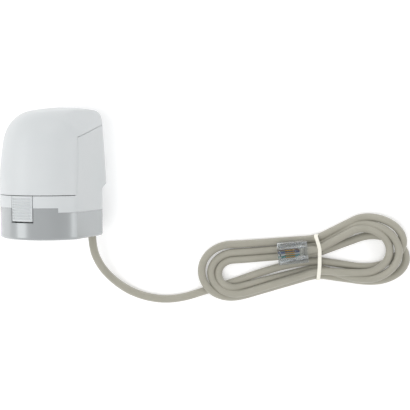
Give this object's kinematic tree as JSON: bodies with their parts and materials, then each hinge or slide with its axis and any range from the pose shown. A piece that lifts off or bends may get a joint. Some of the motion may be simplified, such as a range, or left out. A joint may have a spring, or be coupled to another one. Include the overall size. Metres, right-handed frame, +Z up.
{
  "type": "motorized valve actuator",
  "caption": "Small motorized actuator that screws onto a valve and pushes its pin, with a white housing, grey ring, release latch and a coiled control cable with a clear modular plug.",
  "frame": {"origin": "on the valve axis at the mouth of the valve connection, the bottom plane of the grey ring", "axes": "the object lies on a table: +Z up, +Y along the valve axis towards the cap's top, +X towards the cable's hank"},
  "size_m": [0.1849, 0.0908, 0.0462],
  "materials": {
    "white_housing": "fine-textured white moulded plastic, satin",
    "grey_ring": "polished cool grey plastic",
    "latch_white": "white moulded plastic, satin",
    "adapter_grey": "glass-filled grey plastic",
    "steel": "zinc-plated steel",
    "bright_steel": "ground steel",
    "chassis": "natural acetal",
    "gear_plastic": "natural acetal, satin",
    "nut_plastic": "dark acetal",
    "foot_plastic": "black glass-filled plastic",
    "motor_steel": "drawn steel",
    "magnet": "ferrite",
    "board": "green solder mask",
    "black_part": "black epoxy",
    "connector": "natural nylon",
    "capacitor_sleeve": "aluminium can",
    "core_wires": "coloured cores",
    "cable_sheath": "soft grey-beige cable sheath",
    "tie": "cream white band",
    "clear_plug": "clear moulded polycarbonate",
    "gold": "gold-plated contacts"
  },
  "bodies": {
    "housing": {"base_ring": "grey_ring", "main_housing": "white_housing", "top_cover": "white_housing", "latch_pin": "bright_steel", "latch_spring": "bright_steel", "valve_adapter": "adapter_grey", "cable_clamp": "adapter_grey", "chassis_plate": "chassis", "upper_plate": "chassis", "plate_posts": "steel", "plate_screws": "steel", "housing_screws": "steel", "chassis_screws": "steel", "gear_axles": "bright_steel", "thrust_washer": "steel", "motor_can": "motor_steel", "motor_terminals": "black_part", "circuit_board": "board", "microcontroller": "black_part", "wire_connector": "connector", "capacitor": "capacitor_sleeve", "signal_wires": "core_wires", "motor_leads": "core_wires", "cable_tube": "cable_sheath", "cable_hank": "cable_sheath", "cable_tie": "tie", "plug_body": "clear_plug", "plug_contacts": "gold", "plug_wires": "core_wires"},
    "latch": {"release_latch": "latch_white"},
    "plug_tab": {"plug_tab": "clear_plug"},
    "rotor": {"motor_rotor": "magnet"},
    "first_gear": {"first_gear": "gear_plastic"},
    "second_gear": {"second_gear": "gear_plastic"},
    "third_gear": {"third_gear": "gear_plastic"},
    "drive_nut": {"drive_nut": "nut_plastic"},
    "plunger": {"plunger_spindle": "steel", "pressure_foot": "foot_plastic"}
  },
  "joints": [
    {"name": "drive_nut_spin", "type": "hinge", "parent": "housing", "child": "drive_nut", "pos_m": [0, 0.025, 0], "axis": [0, 1, 0], "range_deg": [0, 720]},
    {"name": "third_gear_spin", "type": "hinge", "parent": "housing", "child": "third_gear", "pos_m": [-0.01112, 0.025, 0.00136], "axis": [0, 1, 0], "range_deg": [-2640, 0]},
    {"name": "second_gear_spin", "type": "hinge", "parent": "housing", "child": "second_gear", "pos_m": [-0.0067, 0.025, 0.00898], "axis": [0, 1, 0], "range_deg": [0, 8976.01]},
    {"name": "first_gear_spin", "type": "hinge", "parent": "housing", "child": "first_gear", "pos_m": [0.00185, 0.025, 0.01105], "axis": [0, 1, 0], "range_deg": [-30518.43, 0]},
    {"name": "motor_spin", "type": "hinge", "parent": "housing", "child": "rotor", "pos_m": [0.00727, 0.025, 0.00411], "axis": [0, 1, 0], "range_deg": [0, 103762.66]},
    {"name": "plunger_slide", "type": "slide", "parent": "housing", "child": "plunger", "axis": [0, -1, 0], "range_m": [0, 0.004]},
    {"name": "latch_rock", "type": "hinge", "parent": "housing", "child": "latch", "pos_m": [-0.00711, 0.0144, 0.01675], "axis": [0.9205, 0, 0.3907], "range_deg": [0, 7], "stiffness_Nm_per_rad": 0.02, "springref_deg": -8.59, "deforming": ["latch_spring"]},
    {"name": "plug_tab_flex", "type": "hinge", "parent": "housing", "child": "plug_tab", "pos_m": [0.10183, -0.00991, -0.0183], "axis": [0.1045, -0.9945, 0], "range_deg": [0, 5], "stiffness_Nm_per_rad": 0.02, "springref_deg": -5.73}
  ],
  "couplings": [
    {"joint": "third_gear_spin", "follows": "drive_nut_spin", "ratio": -3.6667},
    {"joint": "second_gear_spin", "follows": "drive_nut_spin", "ratio": 12.467},
    {"joint": "first_gear_spin", "follows": "drive_nut_spin", "ratio": -42.387},
    {"joint": "motor_spin", "follows": "drive_nut_spin", "ratio": 144.11},
    {"joint": "plunger_slide", "follows": "drive_nut_spin", "m_per_rad": 0.00031831}
  ]
}
